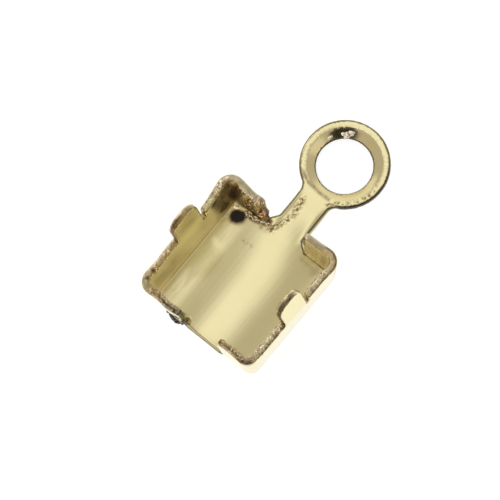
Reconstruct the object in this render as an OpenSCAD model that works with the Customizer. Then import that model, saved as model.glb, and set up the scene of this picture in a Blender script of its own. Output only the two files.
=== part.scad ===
// Rhinestone chain end: one sheet-brass stamping, drawn into a square open-topped cup,
// with two crimping prongs on its side walls and a flat neck that carries a dished ring.
// Millimetres. The origin is the middle of the cup's underside, +X runs from the cup to
// the ring, +Z is up out of the cup, and the part lies on its floor at z = 0.

/* [Sheet] */
// Thickness of the brass sheet
sheet_t = 0.28; // [0.2:0.01:0.34]

/* [Cup] */
// Outside width of the rim, which is square
rim_w = 5.0; // [4.6:0.1:6]
// Height of the rim above the underside
wall_h = 2.2; // [1.6:0.1:2.8]
// Outside radius of the rim's corners
corner_r = 0.38; // [0.36:0.02:0.7]
// Outside radius of the bend between floor and walls
bend_r = 0.3; // [0.1:0.05:0.34]
// How far the front wall, opposite the ring, flares out from foot to rim
front_flare = 0.11; // [0:0.01:0.3]
// How far the back wall, on the ring's side, flares out
back_flare = 0.05; // [0:0.01:0.3]
// How far the left wall (+Y) flares out
left_flare = 0.1; // [0:0.01:0.3]
// How far the right wall (-Y) flares out
right_flare = 0.12; // [0:0.01:0.3]

/* [Gaps in the front and back walls] */
// Left edge of the front gap, where the chain's link passes
front_gap_left = 0.66; // [0.4:0.02:1.2]
// Right edge of the front gap
front_gap_right = -0.98; // [-1.3:0.02:-0.6]
// Left edge of the back gap at the floor, where the neck leaves
back_gap_left_foot = 0.78; // [0.7:0.02:1.2]
// Left edge of the back gap at the rim, for this wall was torn off at a slant
back_gap_left_rim = 1.0; // [0.7:0.02:1.2]
// Right edge of the back gap
back_gap_right = -1.04; // [-1.3:0.02:-0.9]

/* [Prongs] */
// Width of the left prong
left_prong_w = 1.24; // [1:0.02:1.6]
// Width of the right prong, which was sheared a little narrower
right_prong_w = 1.1; // [1:0.02:1.6]
// Height of the prong tips above the underside
prong_top = 3.5; // [2.8:0.1:4]
// Radius of the rounded shoulders at the tips
prong_r = 0.48; // [0.2:0.02:0.5]
// Middle of the left prong along the wall
left_prong_x = 0.12; // [-0.4:0.02:0.4]
// Middle of the right prong along the wall
right_prong_x = 0.1; // [-0.4:0.02:0.4]
// How far the left prong's tip leans out past the rim
left_tip_out = 0.16; // [-0.3:0.02:0.4]
// How far the right prong's tip leans out past the rim, negative for inwards
right_tip_out = -0.2; // [-0.4:0.02:0.3]
// Width of the relief notch beside each prong
notch_w = 0.14; // [0.06:0.02:0.3]
// Depth of the relief notch below the rim
notch_d = 0.45; // [0.1:0.05:0.8]

/* [Neck] */
// Width of the neck
neck_w = 1.24; // [0.9:0.02:1.6]
// Sideways place of the neck and the ring, a little to the right of the cup's middle
neck_y = -0.04; // [-0.2:0.02:0.2]
// Height of the neck's raised borders over its middle
neck_border_h = 0.1; // [0.04:0.01:0.16]
// Radius of the fillets where the neck leaves the cup
cup_fillet_r = 0.25; // [0.1:0.05:0.3]
// Radius of the fillets where the neck meets the ring
ring_fillet_r = 0.4; // [0.2:0.05:0.6]

/* [Ring] */
// Distance from the cup's middle to the ring's middle
ring_x = 5.58; // [5.2:0.02:6.5]
// Outside radius of the ring
ring_r = 1.6; // [1.4:0.02:2]
// Radius of the hole
hole_r = 1.0; // [0.6:0.02:1.1]
// Width of the ring's flat border
ring_border_w = 0.22; // [0.12:0.02:0.3]
// Height of the border's top above the underside
ring_border_z = 0.48; // [0.4:0.02:0.6]
// Height of the hole's thinned lip
lip_h = 0.2; // [0.14:0.02:0.24]

/* [Hidden] */

brass = [0.86, 0.8, 0.58];
eps = 0.01;

// Plan of the cup's foot, inside the flares
foot_front = -rim_w / 2 + front_flare;
foot_back = rim_w / 2 - back_flare;
foot_left = rim_w / 2 - left_flare;
foot_right = -rim_w / 2 + right_flare;
inner_corner_r = corner_r - sheet_t;

// The gaps' cuts start inside the walls and go right through them
gap_inset = sheet_t + 0.06;
gap_depth = 1.0;

// The neck runs from inside the floor to the inner edge of the ring's border
border_in = ring_r - ring_border_w;
neck_start = foot_back - 0.45;
neck_end = ring_x - border_in;
neck_len = neck_end - neck_start;
neck_rise = ring_border_z - neck_border_h - sheet_t;
neck_slope = atan2(neck_rise, neck_len);
neck_foot_z = sheet_t + neck_rise * (foot_back - neck_start) / neck_len;
trough_r = (pow(neck_w * 0.4, 2) + pow(neck_border_h, 2)) / (2 * neck_border_h);

// Centre of the fillet's circle between the neck's side and the ring
ring_fillet_y = neck_w / 2 + ring_fillet_r;
ring_fillet_x = ring_x - sqrt(pow(ring_r + ring_fillet_r, 2) - pow(ring_fillet_y, 2));

// A solid corner post with a rounded foot
module foot_post(radius, bend) {
    rotate_extrude($fn = 32) {
        square([radius - bend, bend]);
        translate([radius - bend, bend]) intersection() {
            circle(bend, $fn = 32);
            translate([0, -bend]) square([bend, bend]);
        }
    }
}

// Children 0 and 1 at the four corners of the foot and of the rim
module at_corners(inset, foot_z, rim_z, foot_corner, rim_corner) {
    rim = rim_w / 2 - inset - rim_corner;
    for (x = [-rim, rim], y = [-rim, rim]) translate([x, y, rim_z]) children(1);
    for (x = [foot_front + inset + foot_corner, foot_back - inset - foot_corner],
         y = [foot_right + inset + foot_corner, foot_left - inset - foot_corner])
        translate([x, y, foot_z]) children(0);
}

// The drawn cup, floor and four walls with round corners, before its gaps are cut
module cup_shell() {
    difference() {
        hull() at_corners(0, 0, wall_h - eps, corner_r, corner_r) {
            foot_post(corner_r, bend_r);
            cylinder(r = corner_r, h = eps, $fn = 32);
        }
        hull() at_corners(sheet_t, sheet_t, wall_h, inner_corner_r, inner_corner_r) {
            cylinder(r = inner_corner_r, h = eps, $fn = 32);
            cylinder(r = inner_corner_r, h = 0.1, $fn = 32);
        }
    }
}

// An opening through the front or back wall, down to the floor; the cut starts at x = start
module wall_gap(start, right, left_foot, left_rim) {
    rim_z = wall_h + eps;
    translate([start, 0, 0]) rotate([90, 0, 90]) linear_extrude(gap_depth) polygon([
        [right, sheet_t],
        [left_foot, sheet_t],
        [left_rim, rim_z],
        [right, rim_z]
    ]);
}

// The openings in the front and back walls
module wall_gaps() {
    wall_gap(foot_front + gap_inset - gap_depth, front_gap_right, front_gap_left, front_gap_left);
    wall_gap(foot_back - gap_inset, back_gap_right, back_gap_left_foot, back_gap_left_rim);
}

// Outline of a prong, standing on y = 0, with round shoulders
module prong_outline(width, height) {
    straight = height - prong_r;
    shoulder = width / 2 - prong_r;
    translate([-width / 2, 0]) square([width, straight]);
    translate([-shoulder, 0]) square([2 * shoulder, height]);
    for (side = [-1, 1]) translate([side * shoulder, straight]) circle(prong_r, $fn = 48);
}

// A crimping prong on the wall at +Y, rising out of it and leaning out by tip_out
module prong(prong_x, width, tip_out) {
    root = 0.05;
    lean = atan2(tip_out, prong_top - wall_h);
    translate([prong_x, rim_w / 2, wall_h])
        rotate([90 - lean, 0, 0])
            translate([0, -root, 0])
                linear_extrude(sheet_t)
                    prong_outline(width, (prong_top - wall_h) / cos(lean) + root);
}

// The relief notch beside a prong, on its ring side
module prong_notch(prong_x, width) {
    translate([prong_x + width / 2, rim_w / 2 - 0.6, wall_h - notch_d])
        cube([notch_w, 1, notch_d + eps]);
}

// Plan of the neck: a strip that spreads through fillets into the cup and the ring
module neck_plan() {
    foot_w = neck_w + 2 * cup_fillet_r;
    translate([neck_start, -neck_w / 2]) square([neck_len, neck_w]);
    difference() {
        translate([neck_start, -foot_w / 2])
            square([foot_back + cup_fillet_r - neck_start, foot_w]);
        for (side = [-1, 1])
            translate([foot_back + cup_fillet_r, side * foot_w / 2])
                circle(cup_fillet_r, $fn = 48);
    }
    for (side = [-1, 1]) difference() {
        polygon([
            [ring_fillet_x, side * neck_w / 2],
            [ring_fillet_x, side * ring_fillet_y],
            [ring_x, 0]
        ]);
        translate([ring_fillet_x, side * ring_fillet_y]) circle(ring_fillet_r, $fn = 48);
    }
}

// The neck's strip, climbing from the floor to the ring's border
module neck_strip() {
    difference() {
        intersection() {
            linear_extrude(2) neck_plan();
            translate([0, 3, 0]) rotate([90, 0, 0]) linear_extrude(6) polygon([
                [neck_start, 0],
                [neck_end, neck_rise],
                [ring_x, neck_rise],
                [ring_x, ring_border_z],
                [neck_end, ring_border_z],
                [foot_back, neck_foot_z + neck_border_h],
                [neck_start, sheet_t]
            ]);
        }
        translate([ring_x, 0, -1]) cylinder(r = border_in, h = 3, $fn = 96);
    }
}

// The trough along the neck's middle, which leaves its borders raised
module neck_trough() {
    translate([neck_start, 0, sheet_t + trough_r])
        rotate([0, 90 - neck_slope, 0])
            cylinder(r = trough_r, h = neck_len, $fn = 96);
}

// The ring: a flat border that dishes down to the thinned lip of the hole
module ring() {
    border_under = ring_border_z - sheet_t;
    translate([ring_x, 0, 0]) rotate_extrude($fn = 96) polygon([
        [hole_r, 0],
        [hole_r + 0.12, 0],
        [border_in + 0.06, border_under],
        [ring_r - 0.04, border_under],
        [ring_r, border_under + 0.04],
        [ring_r, ring_border_z - 0.04],
        [ring_r - 0.04, ring_border_z],
        [border_in, ring_border_z],
        [hole_r, lip_h]
    ]);
}

// The neck and its ring, a little to one side of the cup's middle
module neck_and_ring() {
    translate([0, neck_y, 0]) difference() {
        union() {
            neck_strip();
            ring();
        }
        neck_trough();
    }
}

module chain_end() {
    color(brass) {
        difference() {
            union() {
                cup_shell();
                prong(left_prong_x, left_prong_w, left_tip_out);
                mirror([0, 1, 0]) prong(right_prong_x, right_prong_w, right_tip_out);
            }
            wall_gaps();
            prong_notch(left_prong_x, left_prong_w);
            mirror([0, 1, 0]) prong_notch(right_prong_x, right_prong_w);
        }
        neck_and_ring();
    }
}

chain_end();
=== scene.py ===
import math

import bpy
import numpy as np
from mathutils import Matrix, Vector, geometry, kdtree, noise


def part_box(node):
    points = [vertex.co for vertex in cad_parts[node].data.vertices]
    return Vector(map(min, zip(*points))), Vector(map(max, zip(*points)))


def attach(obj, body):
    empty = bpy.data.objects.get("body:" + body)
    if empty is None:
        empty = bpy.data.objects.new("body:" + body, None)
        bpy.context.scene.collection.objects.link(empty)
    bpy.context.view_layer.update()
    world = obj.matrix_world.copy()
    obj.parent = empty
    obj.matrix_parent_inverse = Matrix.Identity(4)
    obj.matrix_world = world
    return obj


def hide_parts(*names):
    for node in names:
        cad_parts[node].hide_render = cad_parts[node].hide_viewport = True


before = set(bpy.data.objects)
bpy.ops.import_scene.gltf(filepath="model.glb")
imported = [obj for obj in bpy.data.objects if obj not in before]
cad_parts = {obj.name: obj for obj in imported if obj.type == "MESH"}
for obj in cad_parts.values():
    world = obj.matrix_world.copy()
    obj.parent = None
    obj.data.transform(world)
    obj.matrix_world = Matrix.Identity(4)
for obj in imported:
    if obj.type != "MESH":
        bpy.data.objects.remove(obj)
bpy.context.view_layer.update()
MM = 0.001

# The camera
# The chain end lies on a white table and is looked at almost straight down, with the
# cup's front corner towards the left and the ring away to the upper right. The camera's
# place and aim are in millimetres, its roll in degrees.
CAMERA_AT = Vector((-10.3, -18.2, 87.6))
CAMERA_AIM = Vector((1.13, 0.66, 0.0))
CAMERA_ROLL = 39.6
CAMERA_LENS = 184.0
SENSOR_W = 36.0

camera = bpy.data.objects.new("camera", bpy.data.cameras.new("camera"))
bpy.context.scene.collection.objects.link(camera)
bpy.context.scene.camera = camera
towards = (CAMERA_AT - CAMERA_AIM).normalized()
roll = math.radians(CAMERA_ROLL)
picture_up = Vector((math.cos(roll), math.sin(roll), 0))
picture_right = picture_up.cross(towards).normalized()
picture_up = towards.cross(picture_right)
camera.matrix_world = Matrix.Translation(CAMERA_AT * MM) @ Matrix(
    (picture_right, picture_up, towards)).transposed().to_4x4()
camera.data.sensor_fit = "HORIZONTAL"
camera.data.sensor_width = SENSOR_W
camera.data.lens = CAMERA_LENS
camera.data.clip_start = 0.002
camera.data.clip_end = 2.0

# The blank
# The whole part is one blank of sheet brass, sheared to outline and drawn up in a press.
# Sizes are millimetres. The blank is laid out on the middle of its thickness, in two
# patches: the floor with its neck and ring in plan, and the walls unrolled into a strip.
# Its outlines stop EDGE_ROUND short of the real edges, for the rounding comes on top.
SHEET_T = 0.28
EDGE_ROUND = 0.05
GRID = 0.055
GRID_ROW = GRID * 0.87
GRID_CLEAR = GRID * 0.6
EDGE_STEP = 0.03
FLOOR_Z = SHEET_T / 2
BEND_R = 0.17
BEND_LENGTH = BEND_R * math.pi / 2
WALL_FOOT_Z = FLOOR_Z + BEND_R
WALL_H = 2.2
RIM_Z = WALL_H - EDGE_ROUND

# Foot of the walls in plan: the rectangle where the floor starts to bend up
FRONT_X, BACK_X = -2.08, 2.14
RIGHT_Y, LEFT_Y = -2.07, 2.09
FOOT_CORNER = 0.08
CORNER_SPAN = 0.42

# Where the walls' feet end beside the neck
TORN_END_Y = 0.72
BACK_RIGHT_END_Y = -0.99

NECK_Y = -0.045
NECK_HALF = 0.635 - EDGE_ROUND
RING_R = 1.625 - EDGE_ROUND
HOLE_R = 1.04 + EDGE_ROUND
CAD_RING_R = 1.6
RING_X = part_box("chain_end")[1].x / MM - CAD_RING_R
RING_Y = -0.075
HOLE_X = RING_X - 0.035
RING_FILLET = 0.42
BORDER_IN = 1.4


def ease(value, start, end):
    """Runs smoothly from 0 at start to 1 at end."""
    share = np.clip((value - start) / (end - start), 0, 1)
    return share * share * (3 - 2 * share)


def on_circle(x, y, radius, turn=None):
    """Points of a circle at the angles turn, or evenly all round it."""
    if turn is None:
        turn = np.linspace(0, 2 * math.pi, round(2 * math.pi * radius / EDGE_STEP), endpoint=False)
    return np.stack([x + radius * np.cos(turn), y + radius * np.sin(turn)], 1)


def rounded(corners, step):
    """Points every step along straight lines between corners (a, b, radius), each corner an arc."""
    corners = [(np.array(corner[:2], float), corner[2]) for corner in corners]
    points = []
    for i, (here, radius) in enumerate(corners):
        if radius == 0 or i in (0, len(corners) - 1):
            points.append(here)
            continue
        back = corners[i - 1][0] - here
        ahead = corners[i + 1][0] - here
        back /= np.linalg.norm(back)
        ahead /= np.linalg.norm(ahead)
        half = math.acos(np.clip(back @ ahead, -1, 1)) / 2
        middle = back + ahead
        centre = here + middle / np.linalg.norm(middle) * radius / math.sin(half)
        start = here + back * radius / math.tan(half) - centre
        turn = math.pi - 2 * half
        if back[0] * ahead[1] - back[1] * ahead[0] > 0:
            turn = -turn
        for share in np.linspace(0, 1, max(4, int(abs(turn) * radius / step) + 2)):
            c, s = math.cos(turn * share), math.sin(turn * share)
            points.append(centre + np.array((c * start[0] - s * start[1], s * start[0] + c * start[1])))
    path = []
    for a, b in zip(points, points[1:]):
        count = max(1, round(np.linalg.norm(b - a) / step))
        path += [a + (b - a) * k / count for k in range(count)]
    return np.round(path + [points[-1]], 6)


def inside(points, loop):
    """True for each point that lies inside a closed loop."""
    ahead = np.roll(loop, -1, axis=0)
    found = np.zeros(len(points), bool)
    for (ax, ay), (bx, by) in zip(loop, ahead):
        if ay != by:
            crosses = (ay > points[:, 1]) != (by > points[:, 1])
            found ^= crosses & (points[:, 0] < (bx - ax) * (points[:, 1] - ay) / (by - ay) + ax)
    return found


def filled(outline, holes=(), creases=()):
    """Fills an outline with an even mesh of triangles: its own points first, then the creases'."""
    loops = [outline, *holes]
    rim = np.vstack([*loops, *creases])
    low, high = rim.min(0), rim.max(0)
    rows = np.arange(low[1] + GRID, high[1], GRID_ROW)
    grid = [(x, y) for k, y in enumerate(rows)
            for x in np.arange(low[0] + GRID * (0.5 + k % 2 / 2), high[0], GRID)]
    tree = kdtree.KDTree(len(rim))
    for i, (x, y) in enumerate(rim):
        tree.insert((x, y, 0), i)
    tree.balance()
    grid = np.array([p for p in grid if tree.find((p[0], p[1], 0))[2] > GRID_CLEAR])
    keep = inside(grid, outline)
    for hole in holes:
        keep &= ~inside(grid, hole)
    points = np.vstack([rim, grid[keep]])
    edges = []
    first = 0
    for loop in loops:
        edges += [(first + i, first + (i + 1) % len(loop)) for i in range(len(loop))]
        first += len(loop)
    faces = np.array(geometry.delaunay_2d_cdt([Vector(p) for p in points], edges, [], 0, 1e-7, False)[2])
    centres = points[faces].mean(1)
    keep = inside(centres, outline)
    for hole in holes:
        keep &= ~inside(centres, hole)
    return points, faces[keep]


# The foot path runs counterclockwise from the torn end of the back wall to its right end.
# Each row is a wall's name, its outward direction, and where its straight stretch starts and ends.
turn_x = (FRONT_X + FOOT_CORNER, BACK_X - FOOT_CORNER)
turn_y = (RIGHT_Y + FOOT_CORNER, LEFT_Y - FOOT_CORNER)
WALLS = [
    ("torn", 0, (BACK_X, TORN_END_Y), (BACK_X, turn_y[1])),
    ("left", 90, (turn_x[1], LEFT_Y), (turn_x[0], LEFT_Y)),
    ("front", 180, (FRONT_X, turn_y[1]), (FRONT_X, turn_y[0])),
    ("right", 270, (turn_x[0], RIGHT_Y), (turn_x[1], RIGHT_Y)),
    ("back", 360, (BACK_X, turn_y[0]), (BACK_X, BACK_RIGHT_END_Y)),
]
wall_start = {}
wall_end = {}
reach = 0
for name, _, start, end in WALLS:
    wall_start[name] = reach
    wall_end[name] = reach + math.dist(start, end)
    reach = wall_end[name] + CORNER_SPAN
STRIP_LENGTH = reach - CORNER_SPAN


def strip_at(wall, place):
    """Distance along the strip of a place on a wall, given as its x or y."""
    _, facing, start, end = next(row for row in WALLS if row[0] == wall)
    axis = 0 if facing % 180 else 1
    return wall_start[wall] + (place - start[axis]) * math.copysign(1, end[axis] - start[axis])


def foot(u):
    """Place on the foot path, outward direction, and each wall's share, at distances u."""
    u = np.clip(u, 0, STRIP_LENGTH)
    place = np.zeros((len(u), 2))
    facing = np.zeros(len(u))
    share = {name: np.zeros(len(u)) for name, *_ in WALLS}
    for i, (name, angle, start, end) in enumerate(WALLS):
        a, b = wall_start[name], wall_end[name]
        on = (u >= a) & (u <= max(b, STRIP_LENGTH * (name == "back")))
        part = np.minimum((u[on] - a) / (b - a), 1)[:, None]
        place[on] = np.array(start) * (1 - part) + np.array(end) * part
        facing[on] = angle
        share[name][on] = 1
        if name != "back":
            on = (u > b) & (u < wall_start[WALLS[i + 1][0]])
            part = (u[on] - b) / CORNER_SPAN
            facing[on] = angle + 90 * part
            corner = np.array(end) - FOOT_CORNER * np.array(
                (math.cos(math.radians(angle)), math.sin(math.radians(angle))))
            place[on] = on_circle(*corner, FOOT_CORNER, np.radians(facing[on]))
            share[name][on] = 1 - ease(part, 0, 1)
            share[WALLS[i + 1][0]][on] = ease(part, 0, 1)
    return place, on_circle(0, 0, 1, np.radians(facing)), share


# Top edge of the walls and prongs, as corners (x or y along the wall, height, rounding)
PRONG_W = {"left": 1.24 - 2 * EDGE_ROUND, "right": 1.1 - 2 * EDGE_ROUND}
PRONG_TOP = 3.5 - EDGE_ROUND
PRONG_X = {"left": 0.12, "right": 0.1}
NOTCH_W = 0.14 + 2 * EDGE_ROUND
NOTCH_D = 0.45
NOTCH_BOTTOM = WALL_H - NOTCH_D - EDGE_ROUND
GAP_Z = 0.33
FRONT_GAP = (0.66 + EDGE_ROUND, -0.98 - EDGE_ROUND)


def prong_top(wall):
    """A prong's corners from its plain side to the relief notch on its ring side."""
    plain, cut = PRONG_X[wall] - PRONG_W[wall] / 2, PRONG_X[wall] + PRONG_W[wall] / 2
    past = cut + NOTCH_W
    return [
        (wall, plain, RIM_Z, 0.1),
        (wall, plain, PRONG_TOP, 0.45),
        (wall, cut, PRONG_TOP, 0.42),
        (wall, cut, NOTCH_BOTTOM, 0.09),
        (wall, past, NOTCH_BOTTOM, 0.09),
        (wall, past, RIM_Z, 0.07),
    ]


# The torn end has two lobes with a nick between them
TOP_EDGE = [
    ("torn", 0.9, 0.72, 0.12),
    ("torn", 1.07, 1.12, 0.05),
    ("torn", 0.93, 1.5, 0.12),
    ("torn", 0.99, RIM_Z, 0.12),
]
TOP_EDGE += reversed(prong_top("left"))
TOP_EDGE += [
    ("front", FRONT_GAP[0], RIM_Z, 0.12),
    ("front", FRONT_GAP[0], GAP_Z, 0.06),
    ("front", FRONT_GAP[1], GAP_Z, 0.06),
    ("front", FRONT_GAP[1], RIM_Z, 0.2),
]
TOP_EDGE += prong_top("right")
TOP_EDGE += [("back", BACK_RIGHT_END_Y, RIM_Z, 0.12)]


def strip_height(z):
    """Distance up the strip of a height above the table."""
    return z - WALL_FOOT_Z + BEND_LENGTH


foot_columns = np.linspace(0, STRIP_LENGTH, round(STRIP_LENGTH / GRID) + 1)
top_corners = [(strip_at(wall, place), strip_height(z), radius) for wall, place, z, radius in TOP_EDGE]
top_corners = [(STRIP_LENGTH, 0, 0), *reversed(top_corners), (0, 0, 0)]
top_path = rounded(top_corners, EDGE_STEP)[1:-1]
strip_outline = np.vstack([np.stack([foot_columns, 0 * foot_columns], 1), top_path])
strip_plan, strip_faces = filled(strip_outline)

# Floor, neck and ring in plan, from the back wall's right end round the ring to the torn end
def neck_side(side, corners):
    """One side of the neck, from the wall's end to the ring, and the angle at which it meets the ring."""
    edge = NECK_HALF + side * (NECK_Y - RING_Y)
    centre_y = edge + RING_FILLET
    centre_x = RING_X - math.sqrt((RING_R + RING_FILLET) ** 2 - centre_y ** 2)
    arc = np.linspace(-math.pi / 2, -math.atan2(centre_y, RING_X - centre_x), 14)
    web = on_circle(centre_x, centre_y, RING_FILLET, arc)
    corners = [(x, side * (y - RING_Y), radius) for x, y, radius in corners]
    straight = rounded([*corners, (centre_x, edge, 0)], EDGE_STEP)
    path = np.vstack([straight, web[1:]])
    return path * (1, side) + (0, RING_Y), math.atan2(centre_y, centre_x - RING_X)


foot_row, _, _ = foot(foot_columns)
right_side, right_meet = neck_side(-1, [
    (BACK_X, BACK_RIGHT_END_Y, 0),
    (BACK_X + 0.27, NECK_Y - NECK_HALF, 0.3),
])
left_side, left_meet = neck_side(1, [
    (BACK_X, TORN_END_Y, 0),
    (BACK_X + 0.28, TORN_END_Y + 0.02, 0.12),
    (BACK_X + 0.55, NECK_Y + NECK_HALF, 0.3),
])
ring_turn = np.linspace(-right_meet, left_meet, round((left_meet + right_meet) * RING_R / EDGE_STEP))
ring_arc = on_circle(RING_X, RING_Y, RING_R, ring_turn)
floor_outline = np.vstack([foot_row, right_side[1:], ring_arc[1:-1], left_side[::-1][:-1]])
hole_rim = on_circle(HOLE_X, RING_Y, HOLE_R)
crease = on_circle(RING_X, RING_Y, BORDER_IN)
floor_plan, floor_faces = filled(floor_outline, [hole_rim], [crease])

# Forming
# The press bends the walls up, flares them, leans the prongs, presses a trough along the
# neck and dishes the ring; the tearing and handling left dents, waves and curled corners.
RIM_FLARE = {"torn": 0.07, "left": 0.1, "front": 0.11, "right": 0.12, "back": 0.12}
PRONG_LEAN = {"left": 0.16, "right": -0.2}
BORDER_Z = 0.48 - SHEET_T / 2
LIP_Z = 0.16
LIP_T = 0.2
NECK_START = 2.0
NECK_END = RING_X - BORDER_IN
NECK_TROUGH = 0.025
TROUGH_FROM, TROUGH_FULL = 2.1, 2.9
TROUGH_LESS, TROUGH_GONE = 3.3, NECK_END + 0.1
CREASE_BLEND = 0.004

# The floor's crown: its ridge bends a little towards the neck, it is steeper on the left,
# and it fades out along the neck and up the walls
CROWN_H = 0.14
CROWN_Y = -0.1
CROWN_BEND = 0.1
CROWN_LEFT_W = 1.4
CROWN_RIGHT_W = 1.6
CROWN_SPREAD = 0.08
CROWN_END, CROWN_GONE = 2.2, 3.6
CROWN_WALL_Z, CROWN_GONE_Z = 0.3, 1.2

# Where the drawing and the tearing pulled the walls out of line: place along the strip,
# height, how far out, how far up, and half sizes along and up; all fade towards the foot
KNOCK_FADE = 0.3
corner_at = {name: wall_end[name] + CORNER_SPAN / 2 for name in ("torn", "left", "front", "right")}
KNOCKS = [
    (corner_at["torn"], RIM_Z, 0.1, 0.2, 0.7, 1.0),
    (corner_at["left"], RIM_Z, 0.05, 0, 0.6, 1.0),
    (corner_at["front"], RIM_Z, -0.04, -0.04, 0.5, 1.0),
    (corner_at["right"], RIM_Z, 0.05, 0, 0.5, 1.0),
    (strip_at("left", -0.75), RIM_Z, 0.05, 0, 0.6, 0.9),
    (strip_at("front", 0.85), 0.95, 0.09, 0, 0.3, 0.4),
    (strip_at("front", 1.1), 1.9, 0.08, 0, 0.35, 0.5),
    (strip_at("front", -1.4), RIM_Z, -0.09, 0, 0.6, 1.0),
    (strip_at("left", 1.6), 1.1, 0.07, 0, 0.5, 0.9),
    (strip_at("torn", 0.92), 0.8, 0.12, 0, 0.16, 0.3),
    (strip_at("torn", 1.02), 1.95, 0.05, 0, 0.2, 0.4),
]

# The floor rises towards the foot of the left wall, and was pushed up into the top corner,
# from the edge of a round painted dark reflection outwards
SWELL_H = 0.038
SWELL_FROM, SWELL_TO = 1.2, 2.4
DARK_SPOT_AT = np.array((1.79, 1.74))
DENT_TOWARDS = np.array((0.8, 0.6))
DENT_FROM, DENT_TO = 0.2, 0.6
DENT_BACK, DENT_AHEAD = -0.1, 0.2
DENT_H = 0.16
DENT_HALF_W = 0.45

# How much of the foot's bend is pressed flat where the front gap was cut
GAP_FLAT = 0.85
GAP_BLEND = 0.12


def from_ring(points):
    """Distance in plan from the ring's middle."""
    return np.hypot(points[:, 0] - RING_X, points[:, 1] - RING_Y)


def softest(a, b, blend):
    """The lower of two heights, with a rounded crease."""
    share = np.clip(0.5 + (b - a) / (2 * blend), 0, 1)
    return b + (a - b) * share - blend * share * (1 - share)


def drawn_wall(plan):
    """Lifts strip points (along, up) into the drawn walls."""
    u, d = plan[:, 0], plan[:, 1]
    place, outward, share = foot(u)
    gap_start, gap_end = (strip_at("front", y) for y in FRONT_GAP)
    in_gap = ease(u, gap_start, gap_start + GAP_BLEND) * (1 - ease(u, gap_end - GAP_BLEND, gap_end))
    bend_r = BEND_R / (1 - GAP_FLAT * in_gap)
    angle = np.clip(d / bend_r, 0, math.pi / 2)
    above = np.maximum(d - bend_r * math.pi / 2, 0)
    z = FLOOR_Z + bend_r * (1 - np.cos(angle)) + above
    up = above / (RIM_Z - WALL_FOOT_Z)
    out = bend_r * np.sin(angle)
    out += sum(share[name] * RIM_FLARE[name] for name in RIM_FLARE) * np.minimum(up, 1)
    for name, lean in PRONG_LEAN.items():
        on = share[name] * (abs(u - strip_at(name, PRONG_X[name])) < PRONG_W[name] / 2 + NOTCH_W)
        out += on * lean * np.maximum(z - RIM_Z, 0) / (PRONG_TOP - RIM_Z)
    lift = 0
    for knock_u, knock_z, knock_out, knock_up, half_u, half_z in KNOCKS:
        near = np.exp(-((u - knock_u) / half_u) ** 2 - ((z - knock_z) / half_z) ** 2)
        near *= ease(up, 0, KNOCK_FADE)
        out += near * knock_out
        lift = lift + near * knock_up
    return np.column_stack([place + outward * out[:, None], z + lift])


def crowned(points):
    """Lifts the floor in a low crown along the cup; the foot of each wall follows."""
    x, y, z = points.T
    ridge = CROWN_Y + CROWN_BEND * np.maximum(x, 0) ** 2
    half = np.where(y > ridge, CROWN_LEFT_W + CROWN_SPREAD * x, CROWN_RIGHT_W)
    share = (y - ridge) / half
    lift = CROWN_H * np.exp(-np.where(share > 0, share ** 2, abs(share) ** 3))
    lift += SWELL_H * ease(y, SWELL_FROM, SWELL_TO)
    lift *= 1 - ease(x, CROWN_END, CROWN_GONE)
    from_dark_spot = points[:, :2] - DARK_SPOT_AT
    away = np.hypot(*from_dark_spot.T)
    across = from_dark_spot @ np.array((-DENT_TOWARDS[1], DENT_TOWARDS[0]))
    dent = ease(away, DENT_FROM, DENT_TO) * np.exp(-(across / DENT_HALF_W) ** 2)
    lift += DENT_H * dent * ease(from_dark_spot @ DENT_TOWARDS, DENT_BACK, DENT_AHEAD)
    lift *= 1 - ease(z, CROWN_WALL_Z, CROWN_GONE_Z)
    return points + np.column_stack([0 * x, 0 * x, lift])


def beside(points, corners, half):
    """Nearness in plan to a line of corners, or to one spot: 1 on it, fading over the half width."""
    x, y = points[:, 0], points[:, 1]
    near = np.zeros(len(points))
    for (ax, ay), (bx, by) in zip(corners, corners[1:] or corners):
        length = max(math.dist((ax, ay), (bx, by)), 0.001)
        share = np.clip(((x - ax) * (bx - ax) + (y - ay) * (by - ay)) / length ** 2, 0, 1)
        away = np.hypot(x - ax - share * (bx - ax), y - ay - share * (by - ay))
        near = np.maximum(near, np.exp(-(away / half) ** 2))
    return near


# Scuffs: the scratched line along the neck's left border, and the nicks round the ring's
# border, each with its half width and depth; two pits in the floor hold only dirt
SCRATCH = [(2.1, 0.45), (2.35, 0.38), (2.57, 0.29), (2.83, 0.2), (3.15, 0.2), (3.45, 0.24), (3.69, 0.29)]
NICKS = [(4.02, -0.53), (4.27, -0.75), (4.38, -0.96), (4.78, -1.31), (5.21, -1.5), (5.64, -1.5)]
PITS = [(1.2, 0.66), (1.21, 1.0)]
SCUFFS = [(SCRATCH, 0.09, 0.03), (NICKS, 0.05, 0.02)]
SCUFFS_PER_MM = 10


def scuffed(points):
    """Roughens the top of neck and ring along the scuffs."""
    rough = np.array([noise.noise(Vector(p) * SCUFFS_PER_MM) for p in points])
    lift = 0
    for corners, half, depth in SCUFFS:
        lift = lift + beside(points, corners, half) * rough * depth
    return points + np.column_stack([0 * lift, 0 * lift, lift])


def pressed_plan(plan):
    """Gives floor, neck and ring points their heights."""
    x, y = plan[:, 0], plan[:, 1] - NECK_Y
    even = np.clip((x - NECK_START) / (NECK_END - NECK_START), 0, 1)
    climb = ease(x, NECK_START, NECK_END) * 0.5 + even * 0.5
    trough = NECK_TROUGH * (1 - np.minimum(abs(y / NECK_HALF), 1) ** 8)
    trough *= 1 - ease(x, TROUGH_LESS, TROUGH_GONE)
    neck_z = FLOOR_Z + (BORDER_Z - FLOOR_Z) * climb - trough * ease(x, TROUGH_FROM, TROUGH_FULL)
    ring_z = LIP_Z + (BORDER_Z - LIP_Z) * (from_ring(plan) - HOLE_R) / (BORDER_IN - HOLE_R)
    return np.column_stack([plan, softest(neck_z, ring_z, CREASE_BLEND)])


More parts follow.
